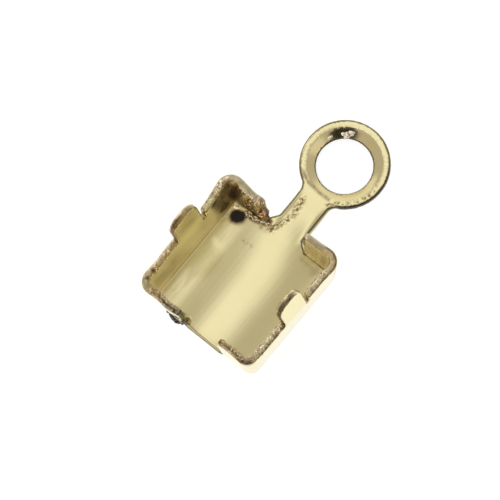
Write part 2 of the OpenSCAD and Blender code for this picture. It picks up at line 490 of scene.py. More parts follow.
wall_points = drawn_wall(strip_plan)
plan_points = scuffed(pressed_plan(floor_plan))

# Welds the strip's bottom row onto the floor's foot path, which both patches list first
shared = len(foot_columns)
sheet_points = crowned(np.vstack([plan_points, wall_points[shared:]]))
strip_faces = np.where(strip_faces < shared, strip_faces, strip_faces + len(plan_points) - shared)
sheet_faces = np.vstack([floor_faces, strip_faces[:, ::-1]])


def point_normals(points, faces):
    """Unit normals at the points of a triangle mesh."""
    a, b, c = (points[faces[:, k]] for k in range(3))
    across = np.cross(b - a, c - a)
    normals = np.zeros_like(points)
    for k in range(3):
        np.add.at(normals, faces[:, k], across)
    return normals / np.linalg.norm(normals, axis=1)[:, None]


def open_loops(faces):
    """Closed rows of points along the open edges, with the surface on their left."""
    ways = {(a, b) for f in faces.tolist() for a, b in zip(f, f[1:] + f[:1])}
    ahead = {a: b for a, b in ways if (b, a) not in ways}
    loops = []
    while ahead:
        start, here = ahead.popitem()
        loop = [start]
        while here != start:
            loop.append(here)
            here = ahead.pop(here)
        loops.append(loop)
    return loops


# The thickness
# The sheet is thickened to both sides of its middle, thinner at the ring's lip, and its
# sheared edges are rounded over by the plating, with the grain of the tear left in them.
EDGE_ROWS = 9
EDGE_POWER, EDGE_ROOT = 3.5, 2.2

# How far noise roughens the edges: the rims, from one height to another, and everywhere
RIM_GRAIN = 0.05
RIM_GRAIN_Z, RIM_GRAIN_FULL_Z = 0.4, 0.8
NECK_GRAIN = 0.006
COARSE_PER_MM, FINE_PER_MM = 9, 19
FINE_SHARE = 0.7

# How much of the cut edge's look the faces take along the outline in plan, plain and shaded
OUTLINE = 0.26
SHADE_OUTLINE = 0.3

# How the shear, the tear and the plating left each stretch of the rim, with painted highlights and
# shade in the colours, such as cream inner sides and dark outer lines: wall, from, to, colours at
# the inner side, the middle and the outer side of the sheet, share of grain
RIM_FINISH_AND_SHADING = [
    ("torn", 0.9, 1.1, "D8BE92", "B98F6A", "D2CCBC", 0.6),
    ("torn", 1.2, 2.1, "E4D6AC", "C9BE9A", "D3DAC4", 0.2),
    ("left", 2.25, 2.45, "D9C08E", "EADBBE", "CFC4A8", 0.3),
    ("left", 2.05, 1.5, "EFE2B4", "E2D2A0", "C9C4A0", 0.7),
    ("left", 1.4, 0.8, "CDBF88", "DDD2A0", "BDB892", 0.25),
    ("left", 0.6, 0.2, "AC9460", "B09A68", "E0CFB0", 0.15),
    ("left", 0.1, -0.4, "9A8050", "6E5430", "DCCDAE", 0.15),
    ("left", -0.65, -1.9, "B0935E", "B8A27A", "D6C8A8", 0.25),
    ("left", -2.1, -2.4, "A88A55", "BDB68E", "B9BC9C", 0.2),
    ("front", 2.0, 1.55, "B99C62", "8E7446", "DCC8A4", 0.4),
    ("front", 1.45, 1.0, "E6D7A2", "6A4E24", "B4B0AE", 0.4),
    ("front", 0.9, 0.72, "6E6658", "4E4A48", "343234", 0.6),
    ("front", 0.6, -0.9, "C9BC86", "7A7048", "3A3626", 0.0),
    ("front", -1.05, -1.75, "C9B07A", "7A6340", "D6C8A4", 0.2),
    ("front", -1.9, -2.2, "B79E68", "6E5C3A", "4E452F", 0.6),
    ("right", -2.0, -0.7, "F2E6C4", "DCCAA0", "8A7C5A", 0.7),
    ("right", -0.4, 0.35, "EADCAC", "6E5C3C", "4E4430", 0.25),
    ("right", 0.45, 0.75, "F2E8C4", "CDBE90", "F0E6C8", 0.1),
    ("right", 0.85, 1.9, "F2E6C2", "D8C8A0", "7A6E50", 0.5),
    ("back", -2.3, -1.9, "D9BE93", "D4B98C", "6E685C", 0.15),
    ("back", -1.7, -1.1, "B7A27C", "B3A684", "CFC6B6", 0.1),
    ("back", -1.03, -0.9, "F3E8CC", "E0D2AC", "D8CDB8", 0.2),
]
FINISH_BLEND = 0.1
FINISH_MIDDLE, FINISH_SIDE = 0.15, 0.6
FAINT = 1e-6

# The cut edges of the floor's tongue, neck and ring: a painted dark line on the upper side over
# light that is partly painted; painted black-brown shade round the lower right of the ring, and
# painted dark shade round the edge of the hole
PLAN_FINISH_AND_SHADE = ("6E6446", "BCB086", "D8CEA6")
RING_SHADE = ("3A3028", "2E2620", "3A3028")
RING_SHADE_FROM, RING_SHADE_TO = -165, -50
RING_SHADE_FADE = 20
RING_SHADE_W = 0.1
PAINTED_HOLE_SHADE = ("3A362C", "2E2B24", "4A463C")


def linear(colour):
    """An sRGB hex colour as linear RGBA."""
    parts = [int(colour[i:i + 2], 16) / 255 for i in (0, 2, 4)]
    return [c / 12.92 if c <= 0.04045 else ((c + 0.055) / 1.055) ** 2.4 for c in parts] + [1]


def across_sheet(colours, side):
    """Colour across the edge, from the inner side (1) over the middle (0) to the outer side (-1)."""
    inner, middle, outer = (np.array(linear(colour)[:3]) for colour in colours)
    share = ease(np.abs(side), FINISH_MIDDLE, FINISH_SIDE)[:, None]
    return middle * (1 - share) + np.where(side[:, None] > 0, inner, outer) * share


def ring_shade(points):
    """1 on the outline of the ring's lower right, 0 elsewhere."""
    turn = np.degrees(np.arctan2(points[:, 1] - RING_Y, points[:, 0] - RING_X))
    in_shade = ease(turn, RING_SHADE_FROM, RING_SHADE_FROM + RING_SHADE_FADE)
    in_shade *= 1 - ease(turn, RING_SHADE_TO - RING_SHADE_FADE, RING_SHADE_TO)
    return in_shade * (from_ring(points) > RING_R - RING_SHADE_W)


def edge_finish_and_shading(points, along, side):
    """Colour, with painted highlights and shade, and share of grain of the cut edges; points off the strip
    get the plain colours.
    """
    in_shade = ring_shade(points)
    plain = across_sheet(PLAN_FINISH_AND_SHADE, side) * (1 - in_shade[:, None])
    plain += across_sheet(RING_SHADE, side) * in_shade[:, None]
    plain = np.where(from_ring(points)[:, None] < BORDER_IN, across_sheet(PAINTED_HOLE_SHADE, side), plain)
    total = np.full(len(points), FAINT)
    colour = plain * FAINT
    grain = np.zeros(len(points))
    for wall, start, end, *colours, share in RIM_FINISH_AND_SHADING:
        low, high = sorted((strip_at(wall, start), strip_at(wall, end)))
        beyond = np.maximum(np.maximum(low - along, along - high), 0)
        near = np.exp(-(beyond / FINISH_BLEND) ** 2) * (along >= 0)
        colour += across_sheet(colours, side) * near[:, None]
        grain += near * share
        total += near
    return colour / total[:, None], grain / total


def thickened(points, faces, along):
    """The sheet's closed shell, its faces, and three values for each of its points.

    They are the distance along the strip, the side, from 1 on the inner face round the edge to
    -1 on the outer face, and the share of the cut edge's look.
    """
    normals = point_normals(points, faces)
    lip = np.clip((BORDER_IN - from_ring(points)) / (BORDER_IN - HOLE_R), 0, 1)
    half = (SHEET_T + (LIP_T - SHEET_T) * lip) / 2
    count = len(points)
    shell = [points + normals * half[:, None], points - normals * half[:, None]]
    shell_faces = [faces, faces[:, ::-1] + count]
    edge_faces = []
    shell_along = [along, along]
    outline = np.zeros(count)
    shell_side = [np.ones(count), -np.ones(count)]
    total = 2 * count
    for loop in open_loops(faces):
        loop = np.array(loop)
        ahead, behind = points[np.roll(loop, -1)], points[np.roll(loop, 1)]
        run = (ahead - behind) / np.linalg.norm(ahead - behind, axis=1)[:, None]
        outward = np.cross(run, normals[loop])
        rows = [loop]
        in_shade = ring_shade(points[loop])
        outline[loop] = (OUTLINE + (SHADE_OUTLINE - OUTLINE) * in_shade) * (along[loop] < 0)
        for k in range(1, EDGE_ROWS):
            side = 1 - 2 * k / EDGE_ROWS
            bulge = EDGE_ROUND * (1 - abs(side) ** EDGE_POWER) ** (1 / EDGE_ROOT)
            row = points[loop] + normals[loop] * (half[loop] * side)[:, None] + outward * bulge
            _, share = edge_finish_and_shading(points[loop], along[loop], np.full(len(loop), side))
            high = ease(points[loop][:, 2], RIM_GRAIN_Z, RIM_GRAIN_FULL_Z)
            grain = RIM_GRAIN * share * high + NECK_GRAIN
            coarse = np.array([noise.noise(Vector(p) * COARSE_PER_MM) for p in row])
            fine = np.array([noise.noise(Vector(p) * FINE_PER_MM) for p in row])
            rough = coarse + FINE_SHARE * fine
            row += outward * (rough * grain)[:, None]
            row += normals[loop] * (rough * grain * side * 0.5)[:, None]
            shell.append(row)
            shell_along.append(along[loop])
            shell_side.append(np.full(len(loop), side))
            rows.append(np.arange(total, total + len(loop)))
            total += len(loop)
        rows.append(loop + count)
        for near, far in zip(rows, rows[1:]):
            near_ahead, far_ahead = np.roll(near, -1), np.roll(far, -1)
            edge_faces.append(np.column_stack([near_ahead, near, far]))
            edge_faces.append(np.column_stack([near_ahead, far, far_ahead]))
    shell_faces = np.vstack([*shell_faces, *edge_faces])
    shell_side = np.concatenate(shell_side)
    shell_edge = 1 - abs(shell_side)
    shell_edge[:2 * count] = np.tile(outline, 2)
    return np.vstack(shell), shell_faces, np.concatenate(shell_along), shell_side, shell_edge


# Points of floor, neck and ring have no place along the strip
OFF_STRIP = -9.0
sheet_along = np.concatenate([np.full(len(plan_points), OFF_STRIP), strip_plan[shared:, 0]])
shell_points, shell_faces, shell_along, shell_side, shell_edge = thickened(
    sheet_points, sheet_faces, sheet_along)


def mesh_piece(name, points, faces):
    """A smooth-shaded mesh object from points in millimetres."""
    mesh = bpy.data.meshes.new(name)
    mesh.from_pydata((points * MM).tolist(), [], faces.tolist())
    mesh.polygons.foreach_set("use_smooth", [True] * len(mesh.polygons))
    mesh.update()
    piece = bpy.data.objects.new(name, mesh)
    bpy.context.scene.collection.objects.link(piece)
    return piece


stamping = mesh_piece("gold_plated_stamping", shell_points, shell_faces)

# The crease between the ring's border and its slope stays sharp, as the die left it
on_crease = np.zeros(len(shell_points), bool)
crease_first = len(floor_outline) + len(hole_rim)
on_crease[crease_first:crease_first + len(crease)] = True
ends = np.zeros(2 * len(stamping.data.edges), np.int32)
stamping.data.edges.foreach_get("vertices", ends)
sharp = on_crease[ends].reshape(-1, 2).all(1)
stamping.data.attributes.new("sharp_edge", "BOOLEAN", "EDGE").data.foreach_set("value", sharp)

# Gold-plated brass
# Pale gold flash over bright-dipped brass: a soft mirror, yellow-green in daylight. The
# sheared edges are matt and grainy, and the brown in the corners and tears is partly tarnish
# and partly painted shade.
PALE_GOLD = "F6ECBC"
DEEP_GOLD = "EFE3AE"
GRAIN_LIGHT = "FFF6DE"
GRAIN_DARK = "5E4A30"
# Browns of the tarnish and of the painted shade, thin and deep
FILM_TARNISH_AND_SHADE = "94784E"
DEEP_TARNISH_AND_SHADE = "5E4640"
# Colour of the painted dark reflection on the floor
PAINTED_DARK_REFLECTION = "42423C"
FACE_ROUGHNESS = 0.14
EDGE_ROUGHNESS = 0.3
TARNISH_AND_SHADE_ROUGHNESS = 0.45
GRAIN_COVER = 0.6

# Sizes of the marks in millimetres: mottling, grain, streaks of tarnish and painted shade, and
# drawn lines, which are coarser than the real ones so that they show
MOTTLE_MM = 1.1
GRAIN_MM = 0.13
GRAIN_DEPTH = 0.06
STREAK_MM = (0.7, 0.16, 1.4)
DRAWN_LINE_MM = (3.0, 0.09, 0.09)
DRAWN_LINE_DEPTH = 0.002

# Tarnish and painted shade on the walls: place along the strip, height, half sizes along and
# up, side of the sheet, how brown
TARNISH_AND_SHADE_THROUGH = 0.7
WALL_TARNISH_AND_SHADE = [
    # Painted shade: the dark fan in the top corner, down both walls (these three rows)
    (corner_at["torn"], 1.5, 0.34, 1.1, 1, 1.0),
    (strip_at("left", 1.86), 1.75, 0.28, 0.5, 1, 0.85),
    (strip_at("torn", 1.85), 1.0, 0.25, 1.0, 1, 0.7),
    (strip_at("torn", 1.2), 1.1, 0.6, 1.1, 1, 0.75),
    # Painted shade darkening the reflection on the torn wall's outer face
    (strip_at("torn", 1.6), 1.2, 1.0, 1.4, -1, 0.35),
    (strip_at("left", 0.1), 3.0, 0.7, 0.6, 1, 0.4),
    (strip_at("left", -1.5), 1.15, 0.7, 0.5, 1, 0.38),
    (strip_at("left", -0.5), 0.75, 0.6, 0.25, 1, 0.3),
    (strip_at("left", 1.6), 0.9, 0.55, 0.9, 1, 0.4),
    (strip_at("left", 0.0), 0.9, 2.1, 0.9, 1, 0.2),
    (strip_at("left", -1.8), 2.15, 0.07, 0.2, 0.4, 0.9),
    (strip_at("left", -2.1), 2.15, 0.06, 0.2, 0.4, 0.8),
    (corner_at["front"], 2.15, 0.16, 0.3, -0.3, 0.8),
    # Painted shade on the inner face of the back wall's right stretch
    (strip_at("back", -1.5), 1.2, 0.7, 0.9, 1, 0.45),
    (strip_at("front", 0.85), 0.95, 0.26, 0.35, -1, 0.95),
    # Painted contact shadow: a thin dark line at the foot of the right wall's outer face
    (strip_at("right", 0), 0.32, 2.4, 0.07, -1, 0.4),
    (strip_at("back", -1.03), 1.9, 0.06, 0.5, 1, 0.9),
]

# Tarnish and painted shade on the floor, neck and ring: a spot or a line in plan, half width,
# how brown
FLOOR_TARNISH_AND_SHADE = [
    # A painted dark reflection: the round dark spot on the floor in the top corner
    ([(1.73, 1.72), (1.78, 1.68)], 0.22, 2.6),
    # Painted shade toning down the floor's reflection along the left wall (two rows)
    ([(-2.0, 1.68), (-0.8, 1.68)], 0.3, 0.2),
    ([(0.8, 1.68), (1.4, 1.68)], 0.25, 0.18),
    ([(1.95, 1.45), (2.04, 1.0), (2.12, 0.75)], 0.07, 0.9),
    # Painted shade in the floor's top corner below the dark fan
    ([(1.95, 2.12), (2.14, 2.04), (2.16, 1.85)], 0.09, 0.5),
    ([(2.2, 0.64)], 0.07, 1.0),
    ([(2.24, -0.99), (2.16, -1.08)], 0.06, 0.8),
    ([(1.95, -1.7)], 0.5, 0.3),
    # Painted shade along the crease where the neck meets the ring
    ([(4.45, 0.95), (4.26, 0.5), (4.2, 0.0), (4.2, -0.45)], 0.06, 0.7),
]

# Dirt in specks along the scuffs: line, half width, how brown
SCUFF_DIRT = [(SCRATCH, 0.1, 1.0), (NICKS, 0.045, 1.0), (PITS, 0.08, 0.35)]


def tarnish_and_shade_at(points, along, side):
    """How brown each point of the shell is from tarnish and painted shade: 1 is brown, and over 1 is the
    painted dark reflection.
    """
    z = points[:, 2]
    brown = np.zeros(len(points))
    for u, height, half_u, half_z, face, depth in WALL_TARNISH_AND_SHADE:
        near = np.exp(-((along - u) / half_u) ** 4 - ((z - height) / half_z) ** 4)
        near = near * depth * np.exp(-((side - face) / TARNISH_AND_SHADE_THROUGH) ** 2)
        brown = np.maximum(brown, near * (along >= 0))
    on_floor = (along < 0) & (side > 0.5)
    for corners, half, depth in FLOOR_TARNISH_AND_SHADE:
        brown = np.maximum(brown, beside(points, corners, half) * depth * on_floor)
    return brown


def dirt_at(points, along, side):
    """How much dirt the scuffs hold at each point of the shell."""
    dirt = np.zeros(len(points))
    for corners, half, depth in SCUFF_DIRT:
        dirt = np.maximum(dirt, depth * beside(points, corners, half))
    return dirt * ((along < 0) & (side > 0.5))


def add(tree, kind, links=(), **settings):
    """Adds a node with its settings; links are (input, node, output)."""
    made = tree.nodes.new(kind)
    for key, value in settings.items():
        if key.startswith("in_"):
            made.inputs[key[3:].replace("_", " ")].default_value = value
        else:
            setattr(made, key, value)
    for socket, source, output in links:
        tree.links.new(made.inputs[socket], source.outputs[output])
    return made


def new_material(name, **settings):
    """A material, its node tree and its shader, with the shader's inputs set."""
    made = bpy.data.materials.new(name)
    made.use_nodes = True
    shader = made.node_tree.nodes["Principled BSDF"]
    for key, value in settings.items():
        shader.inputs[key.replace("_", " ")].default_value = value
    return made, made.node_tree, shader


# The mesh carries five values for the shader: how much a point belongs to a cut edge, the
# edge's colour with its painted highlights and shade, its grain, the tarnish with painted shade
# and a painted dark reflection, and the dirt
plated, tree, shader = new_material("gold_plated_brass", Metallic=1)
place = add(tree, "ShaderNodeTexCoord")
edge, finish_and_shading, pebbles, tarnish_and_shade, dirt = (
    add(tree, "ShaderNodeAttribute", attribute_name=name)
    for name in ("edge", "finish_and_shading", "pebbles", "tarnish_and_shade", "dirt"))

# Colour: mottled gold, the cut edges' colours with their painted highlights and shade, broken up by grain
mottle = add(tree, "ShaderNodeTexNoise", [("Vector", place, "Object")],
             in_Scale=1 / (MOTTLE_MM * MM), in_Detail=3)
gold = add(tree, "ShaderNodeMix", [("Factor", mottle, "Fac")], data_type="RGBA",
           in_A=linear(PALE_GOLD), in_B=linear(DEEP_GOLD))
grain = add(tree, "ShaderNodeTexNoise", [("Vector", place, "Object")],
            in_Scale=1 / (GRAIN_MM * MM), in_Detail=2)
grain_share = add(tree, "ShaderNodeMapRange", [("Value", grain, "Fac")], in_From_Min=0.38, in_From_Max=0.62)
grain_colour = add(tree, "ShaderNodeMix", [("Factor", grain_share, "Result")], data_type="RGBA",
                   in_A=linear(GRAIN_DARK), in_B=linear(GRAIN_LIGHT))
grain_cover = add(tree, "ShaderNodeMath", [(0, pebbles, "Fac")], operation="MULTIPLY")
grain_cover.inputs[1].default_value = GRAIN_COVER
edge_colour = add(tree, "ShaderNodeMix", [
    ("Factor", grain_cover, "Value"), ("A", finish_and_shading, "Color"), ("B", grain_colour, "Result"),
], data_type="RGBA")
edge_mask = add(tree, "ShaderNodeMapRange", [("Value", edge, "Fac")], interpolation_type="SMOOTHSTEP",
                in_From_Min=0.05, in_From_Max=0.3)
clean = add(tree, "ShaderNodeMix", [
    ("Factor", edge_mask, "Result"), ("A", gold, "Result"), ("B", edge_colour, "Result"),
], data_type="RGBA")

# Tarnish and painted shade: brown film, deeper and matt where it is thick, running down the
# walls in streaks
streak_place = add(tree, "ShaderNodeMapping", [("Vector", place, "Object")],
                   in_Scale=[1 / (size * MM) for size in STREAK_MM])
streaks = add(tree, "ShaderNodeTexNoise", [("Vector", streak_place, "Vector")], in_Scale=1, in_Detail=2)
uneven = add(tree, "ShaderNodeMapRange", [("Value", streaks, "Fac")], in_From_Min=0.3, in_From_Max=0.7,
             in_To_Min=0.55, in_To_Max=1.25)
film_and_shade = add(tree, "ShaderNodeMath", [(0, tarnish_and_shade, "Fac"), (1, uneven, "Result")], operation="MULTIPLY",
           use_clamp=True)
speck = add(tree, "ShaderNodeMapRange", [("Value", grain, "Fac")], in_From_Min=0.47, in_From_Max=0.56)
specks = add(tree, "ShaderNodeMath", [(0, dirt, "Fac"), (1, speck, "Result")], operation="MULTIPLY")
tarnish_and_shade_mask = add(tree, "ShaderNodeMath", [(0, film_and_shade, "Value"), (1, specks, "Value")], operation="MAXIMUM")
brown = add(tree, "ShaderNodeMix", [("Factor", tarnish_and_shade, "Fac")], data_type="RGBA",
            in_A=linear(FILM_TARNISH_AND_SHADE), in_B=linear(DEEP_TARNISH_AND_SHADE))
# Over 1 the colour turns to the painted dark reflection
dark_reflection_share = add(tree, "ShaderNodeMapRange", [("Value", tarnish_and_shade, "Fac")], in_From_Min=1, in_From_Max=1.4)
dark = add(tree, "ShaderNodeMix", [("Factor", dark_reflection_share, "Result"), ("A", brown, "Result")], data_type="RGBA",
           in_B=linear(PAINTED_DARK_REFLECTION))
colour = add(tree, "ShaderNodeMix", [
    ("Factor", tarnish_and_shade_mask, "Value"), ("A", clean, "Result"), ("B", dark, "Result"),
], data_type="RGBA")
tree.links.new(shader.inputs["Base Color"], colour.outputs["Result"])
gloss = add(tree, "ShaderNodeMapRange", [("Value", edge_mask, "Result")],
            in_To_Min=FACE_ROUGHNESS, in_To_Max=EDGE_ROUGHNESS)
rough = add(tree, "ShaderNodeMath", [(0, tarnish_and_shade_mask, "Value"), (2, gloss, "Result")],
            operation="MULTIPLY_ADD")
rough.inputs[1].default_value = TARNISH_AND_SHADE_ROUGHNESS
tree.links.new(shader.inputs["Roughness"], rough.outputs["Value"])

# Relief: fine drawn lines on the faces, grain on the sheared edges
line_place = add(tree, "ShaderNodeMapping", [("Vector", place, "Object")],
                 in_Scale=[1 / (size * MM) for size in DRAWN_LINE_MM])
lines = add(tree, "ShaderNodeTexNoise", [("Vector", line_place, "Vector")], in_Scale=1, in_Detail=2)
line_relief = add(tree, "ShaderNodeBump", [("Height", lines, "Fac")], in_Strength=0.4,
                  in_Distance=DRAWN_LINE_DEPTH * MM)
edge_strength = add(tree, "ShaderNodeMath", [(0, edge_mask, "Result"), (1, pebbles, "Fac")],
                    operation="MULTIPLY")
grain_relief = add(tree, "ShaderNodeBump", [
    ("Height", grain, "Fac"), ("Strength", edge_strength, "Value"), ("Normal", line_relief, "Normal"),
], in_Distance=GRAIN_DEPTH * MM)
tree.links.new(shader.inputs["Normal"], grain_relief.outputs["Normal"])
stamping.data.materials.append(plated)

shell = (shell_points, shell_along, shell_side)
finish_and_shading_colour, finish_grain = edge_finish_and_shading(*shell)
# The tarnish values carry painted shade too, and over 1 the painted dark reflection
for name, values in (
    ("edge", shell_edge),
    ("pebbles", finish_grain),
    ("tarnish_and_shade", tarnish_and_shade_at(*shell)),
    ("dirt", dirt_at(*shell)),
):
    stamping.data.attributes.new(name, "FLOAT", "POINT").data.foreach_set("value", values.astype(np.float32))
# Colours of the cut edges, painted highlights and shade included
painted = stamping.data.attributes.new("finish_and_shading", "FLOAT_COLOR", "POINT")
painted.data.foreach_set("color", np.column_stack([finish_and_shading_colour, np.ones(len(finish_and_shading_colour))]).ravel())

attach(stamping, "root")
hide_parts("chain_end")

# Burr grains
# Beads of plating that grew on the burrs of the sheared rims and of the torn end, and flat
# spatters of it on the ring's slope. They are part of the plating itself.
GRAIN_R = 0.042
GRAIN_SCATTER = 0.035
FLAT_SHARE = 0.12
FULL_TURN = (6.28, 6.28, 6.28)
STRETCH_LOW, STRETCH_HIGH = (0.6, 0.6, 0.5), (1.4, 1.3, 1.0)

# The beads are smooth plating: white gold, coppery on the torn lumps, and a burnt grey-violet on
# the front burr; the same dark on beads in pits and corners is painted shade
BEAD_ROUGHNESS = 0.2
BEAD_TINT_MM = 0.3
BEAD_PALE = "FFFBF5"
BEAD_WARM = "F0DFC4"
BEAD_COPPERY = "C8A078"
BEAD_BURNT_AND_SHADE = "545053"

# Runs of grains along the rims: wall, from, to, height, distance in from the sheet's middle,
# spacing, size, and shade: 0 bright, 0.5 coppery, 1 burnt dark, also used as painted shade
RIM_GRAINS = [
    ("torn", 1.95, 1.1, 2.22, 0.12, 0.085, 1.15, 0),
    ("torn", 1.85, 1.05, 1.95, 0.13, 0.17, 1.0, 0),
    ("torn", 1.8, 1.1, 1.6, 0.14, 0.21, 0.9, 0.1),
    ("torn", 1.75, 1.0, 1.25, 0.14, 0.19, 0.9, 0.1),
    ("torn", 1.7, 0.95, 0.9, 0.14, 0.17, 0.9, 0.2),
    ("left", 2.0, 1.65, 2.2, 0.05, 0.1, 1.6, 0),
    ("left", 1.3, 1.0, 2.18, 0.05, 0.15, 1.0, 0),
    ("left", -0.95, -2.1, 2.17, 0.11, 0.2, 0.8, 0),
    ("front", 2.1, 1.5, 2.17, 0.1, 0.1, 0.9, 0),
    ("front", 1.45, 1.05, 2.19, 0.1, 0.1, 1.1, 0),
    ("front", 1.4, 1.1, 2.2, -0.02, 0.07, 1.0, 0.9),
    ("front", -1.55, -2.05, 2.18, 0.06, 0.12, 1.2, 0),
    ("right", -2.1, -0.7, 2.17, 0.11, 0.08, 1.0, 0),
    ("right", 1.3, 2.1, 2.17, 0.06, 0.12, 1.1, 0),
]

# Runs given as corners, with spacing, size, shade and flatness: the beads at the torn foot and
# dark beads under them as painted shade in the pits, the torn end's lumps, a dark line of beads as
# painted shade down the torn end, the burnt burr of the front gap, the flat spatters on the ring's
# slope, and dark beads as painted shade at the foot of the back wall's right end
FREE_GRAINS = [
    ([(2.0, 1.56, 0.48), (2.03, 1.3, 0.45), (2.05, 1.12, 0.42), (2.1, 0.98, 0.4), (2.16, 0.84, 0.4),
      (2.22, 0.7, 0.4)], 0.05, 1.6, 0, 0),
    # Dark beads: painted shade in the pits under the beads at the torn foot
    ([(1.94, 1.42, 0.36), (1.98, 1.1, 0.32), (2.1, 0.8, 0.3), (2.2, 0.62, 0.31)], 0.11, 1.0, 1, 0),
    ([(2.42, 0.98, 2.0), (2.4, 1.05, 1.8)], 0.2, 2.6, 0.25, 0),
    ([(2.29, 1.09, 2.15)], 1, 3.4, 0.3, 0),
    ([(2.2, 0.85, 1.45), (2.24, 0.87, 1.25)], 0.2, 4.0, 0.45, 0),
    ([(2.17, 1.35, 2.05)], 1, 2.8, 0.5, 0),
    # Dark beads: painted shade down the torn end
    ([(2.42, 0.88, 1.7), (2.4, 0.83, 1.3), (2.36, 0.75, 0.8), (2.3, 0.67, 0.4)], 0.06, 0.6, 0.9, 0),
    ([(-2.51, 1.12, 1.05), (-2.5, 0.98, 0.95), (-2.45, 0.78, 0.85)], 0.055, 2.6, 1, 0),
    ([(-2.46, 1.05, 0.65), (-2.39, 0.74, 0.5)], 0.06, 2.4, 1, 0),
    ([(-2.4, 0.72, 0.9), (-2.4, 0.74, 1.3)], 0.09, 1.6, 0.9, 0),
    ([(-2.5, 1.2, 1.6), (-2.48, 0.95, 1.4)], 0.08, 1.6, 0.95, 0),
    ([(-2.36, 0.7, 0.42)], 1, 1.3, 1, 0),
    ([(6.4, 0.66, 0.34), (6.5, 0.6, 0.35), (6.6, 0.58, 0.36), (6.7, 0.46, 0.37)], 0.05, 2.0, 0, 1),
    ([(6.38, 0.52, 0.31), (6.6, 0.45, 0.34)], 0.06, 1.8, 0, 1),
    ([(6.12, 0.97, 0.34), (5.95, 0.97, 0.32)], 0.05, 1.6, 0, 1),
    # Dark beads: painted shade at the foot of the back wall's right end
    ([(2.26, -0.97, 0.34), (2.2, -1.06, 0.32)], 0.1, 1.2, 1, 0),
]


def grain_nodes():
    """Node tree that sets a bead of random shape, size and turn at each seed."""
    tree = bpy.data.node_groups.new("burr_grains", "GeometryNodeTree")
    for name, kind, in_out in (
        ("Geometry", "Geometry", "INPUT"),
        ("Grain radius", "Float", "INPUT"),
        ("Scatter", "Float", "INPUT"),
        ("Material", "Material", "INPUT"),
        ("Geometry", "Geometry", "OUTPUT"),
    ):
        tree.interface.new_socket(name, in_out=in_out, socket_type="NodeSocket" + kind)
    inputs = add(tree, "NodeGroupInput")
    size = add(tree, "GeometryNodeInputNamedAttribute", data_type="FLOAT", in_Name="size")
    round_share = add(tree, "GeometryNodeInputNamedAttribute", data_type="FLOAT", in_Name="roundness")
    low = add(tree, "ShaderNodeVectorMath", [(0, inputs, "Scatter")], operation="SCALE", in_Scale=-1)
    drift = add(tree, "FunctionNodeRandomValue", [(0, low, "Vector"), (1, inputs, "Scatter")],
                data_type="FLOAT_VECTOR", in_Seed=3)
    moved = add(tree, "GeometryNodeSetPosition", [
        ("Geometry", inputs, "Geometry"), ("Offset", drift, "Value"),
    ])
    bead = add(tree, "GeometryNodeMeshIcoSphere", [("Radius", inputs, "Grain radius")], in_Subdivisions=2)
    turn = add(tree, "FunctionNodeRandomValue", data_type="FLOAT_VECTOR", in_Seed=5)
    turn.inputs[1].default_value = FULL_TURN
    stretch = add(tree, "FunctionNodeRandomValue", data_type="FLOAT_VECTOR", in_Seed=8)
    stretch.inputs[0].default_value = STRETCH_LOW
    stretch.inputs[1].default_value = STRETCH_HIGH
    turned = add(tree, "ShaderNodeVectorMath", [(0, turn, "Value"), ("Scale", round_share, "Attribute")],
                 operation="SCALE")
    level = add(tree, "ShaderNodeMapRange", [("Value", round_share, "Attribute")], in_To_Min=FLAT_SHARE)
    squash = add(tree, "ShaderNodeCombineXYZ", [("Z", level, "Result")], in_X=1, in_Y=1)
    pressed = add(tree, "ShaderNodeVectorMath", [(0, stretch, "Value"), (1, squash, "Vector")],
                  operation="MULTIPLY")
    sized = add(tree, "ShaderNodeVectorMath", [(0, pressed, "Vector"), ("Scale", size, "Attribute")],
                operation="SCALE")
    beads = add(tree, "GeometryNodeInstanceOnPoints", [
        ("Points", moved, "Geometry"), ("Instance", bead, "Mesh"),
        ("Rotation", turned, "Vector"), ("Scale", sized, "Vector"),
    ])
    real = add(tree, "GeometryNodeRealizeInstances", [("Geometry", beads, "Instances")])
    smooth = add(tree, "GeometryNodeSetShadeSmooth", [("Geometry", real, "Geometry")])
    dressed = add(tree, "GeometryNodeSetMaterial", [
        ("Geometry", smooth, "Geometry"), ("Material", inputs, "Material"),
    ])
    add(tree, "NodeGroupOutput", [("Geometry", dressed, "Geometry")])
    return tree


def stepped(corners, spacing):
    """Points every spacing along straight runs between corners."""
    corners = np.array(corners, float)
    reach = np.concatenate([[0], np.cumsum(np.linalg.norm(np.diff(corners, axis=0), axis=1))])
    places = np.arange(0, reach[-1] + spacing / 2, spacing)
    return np.column_stack([np.interp(places, reach, corners[:, k]) for k in range(3)])


runs = []
for wall, start, end, height, inward, spacing, *kind in RIM_GRAINS:
    u = np.arange(*sorted((strip_at(wall, start), strip_at(wall, end))), spacing)
    on_wall = drawn_wall(np.column_stack([u, np.full(len(u), strip_height(height))]))
    on_wall[:, :2] -= foot(u)[1] * inward
    runs.append((on_wall, (*kind, 0)))
for corners, spacing, *kind in FREE_GRAINS:
    runs.append((stepped(corners, spacing), kind))
grain_points = np.vstack([run for run, _ in runs])
grain_kinds = np.vstack([np.tile(kind, (len(run), 1)) for run, kind in runs]).astype(np.float32)
grain_kinds[:, 2] = 1 - grain_kinds[:, 2]

seeds = mesh_piece("burr_seeds", grain_points, np.zeros((0, 3), int))
for k, name in enumerate(("size", "shade", "roundness")):
    seeds.data.attributes.new(name, "FLOAT", "POINT").data.foreach_set("value", grain_kinds[:, k].copy())

